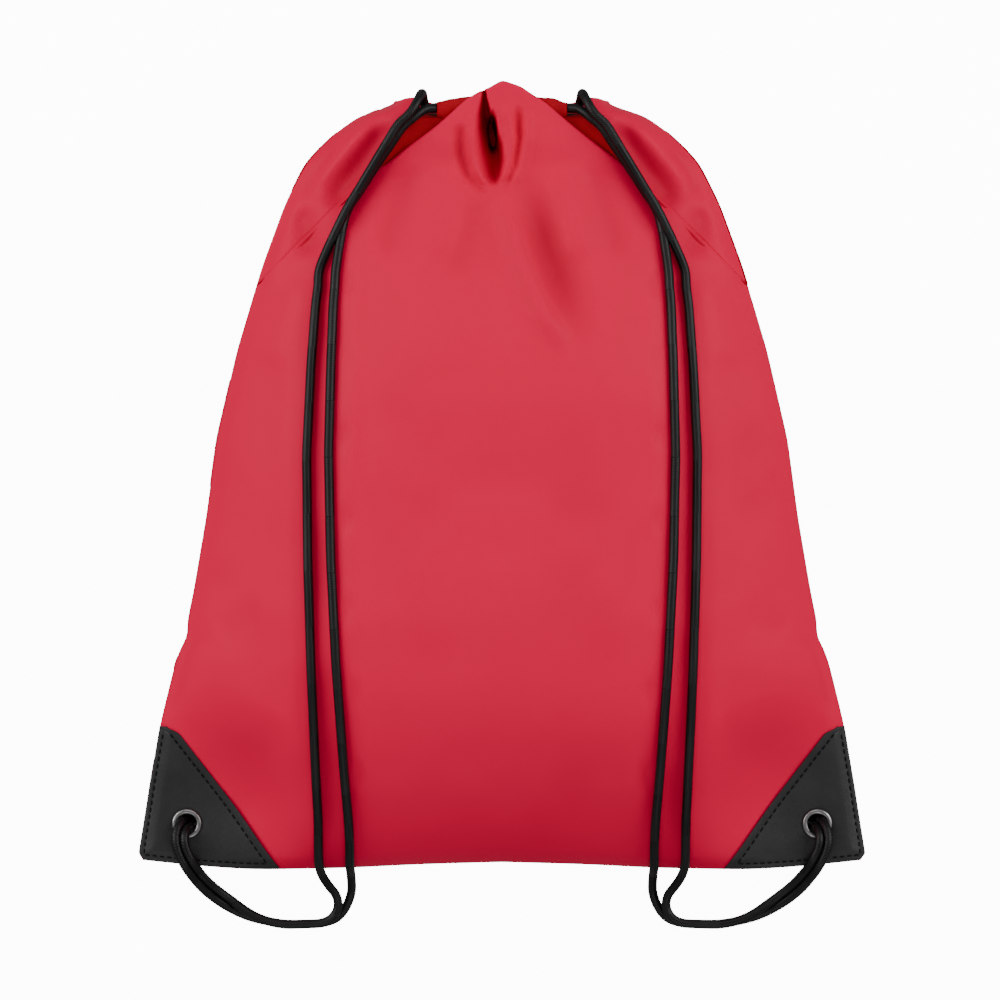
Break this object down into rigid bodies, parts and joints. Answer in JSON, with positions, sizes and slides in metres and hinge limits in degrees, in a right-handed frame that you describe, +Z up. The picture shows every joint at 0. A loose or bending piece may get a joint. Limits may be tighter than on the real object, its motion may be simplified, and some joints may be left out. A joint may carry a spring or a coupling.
{
  "type": "drawstring backpack",
  "caption": "Sewn drawstring backpack of two cloth panels with leather corner patches, eyelets and doubled cords that close the mouth and form the shoulder straps.",
  "frame": {"origin": "middle of the bag, without its cords, on the surface it lies on", "axes": "+Y from the bottom seam to the drawn mouth, +X to the right with the straps towards the viewer, +Z up from the front panel that lies on the floor to the strap side"},
  "size_m": [0.35, 0.4072, 0.084],
  "materials": {
    "cloth": "smooth dyed polyester cloth with a soft sheen",
    "cloth_thread": "tone-in-tone sewing thread",
    "leather": "black coated leather, satin, fine grain",
    "patch_thread": "black sewing thread",
    "eyelet": "dark nickel plated brass",
    "cord": "braided polyester cord, black"
  },
  "bodies": {
    "root": {"back_panel": "cloth", "front_panel": "cloth", "side_seam_left": "cloth", "side_seam_right": "cloth", "bottom_seam": "cloth", "front_hem_channel": "cloth", "front_hem_stitches": "cloth_thread", "patch_back_left": "leather", "patch_back_right": "leather", "patch_front_left": "leather", "patch_front_right": "leather", "stitches_back_left": "patch_thread", "stitches_back_right": "patch_thread", "stitches_front_left": "patch_thread", "stitches_front_right": "patch_thread", "eyelet_left": "eyelet", "eyelet_right": "eyelet", "washer_left": "eyelet", "washer_right": "eyelet", "strap_left_top": "cord", "strap_right_top": "cord", "strap_left_loop": "cord", "strap_right_loop": "cord", "strap_left_neck": "cord", "strap_right_neck": "cord", "knot_left": "cord", "knot_right": "cord", "cord_turn_left": "cord", "cord_turn_right": "cord", "front_channel_cords": "cord"},
    "mouth": {"back_hem_channel": "cloth", "back_hem_stitches": "cloth_thread", "back_channel_cords": "cord"},
    "strap_left": {"strap_left_outer": "cord", "strap_left_inner": "cord"},
    "strap_right": {"strap_right_outer": "cord", "strap_right_inner": "cord"}
  },
  "joints": [
    {"name": "mouth_open", "type": "hinge", "parent": "root", "child": "mouth", "pos_m": [0, 0.06, 0.052], "axis": [1, 0, 0], "range_deg": [0, 20], "deforming": ["strap_left_top", "strap_right_top", "cord_turn_left", "cord_turn_right"]},
    {"name": "strap_left_lift", "type": "slide", "parent": "root", "child": "strap_left", "axis": [0, 0, 1], "range_m": [0, 0.05], "deforming": ["strap_left_top", "strap_left_loop"]},
    {"name": "strap_right_lift", "type": "slide", "parent": "root", "child": "strap_right", "axis": [0, 0, 1], "range_m": [0, 0.05], "deforming": ["strap_right_top", "strap_right_loop"]}
  ]
}
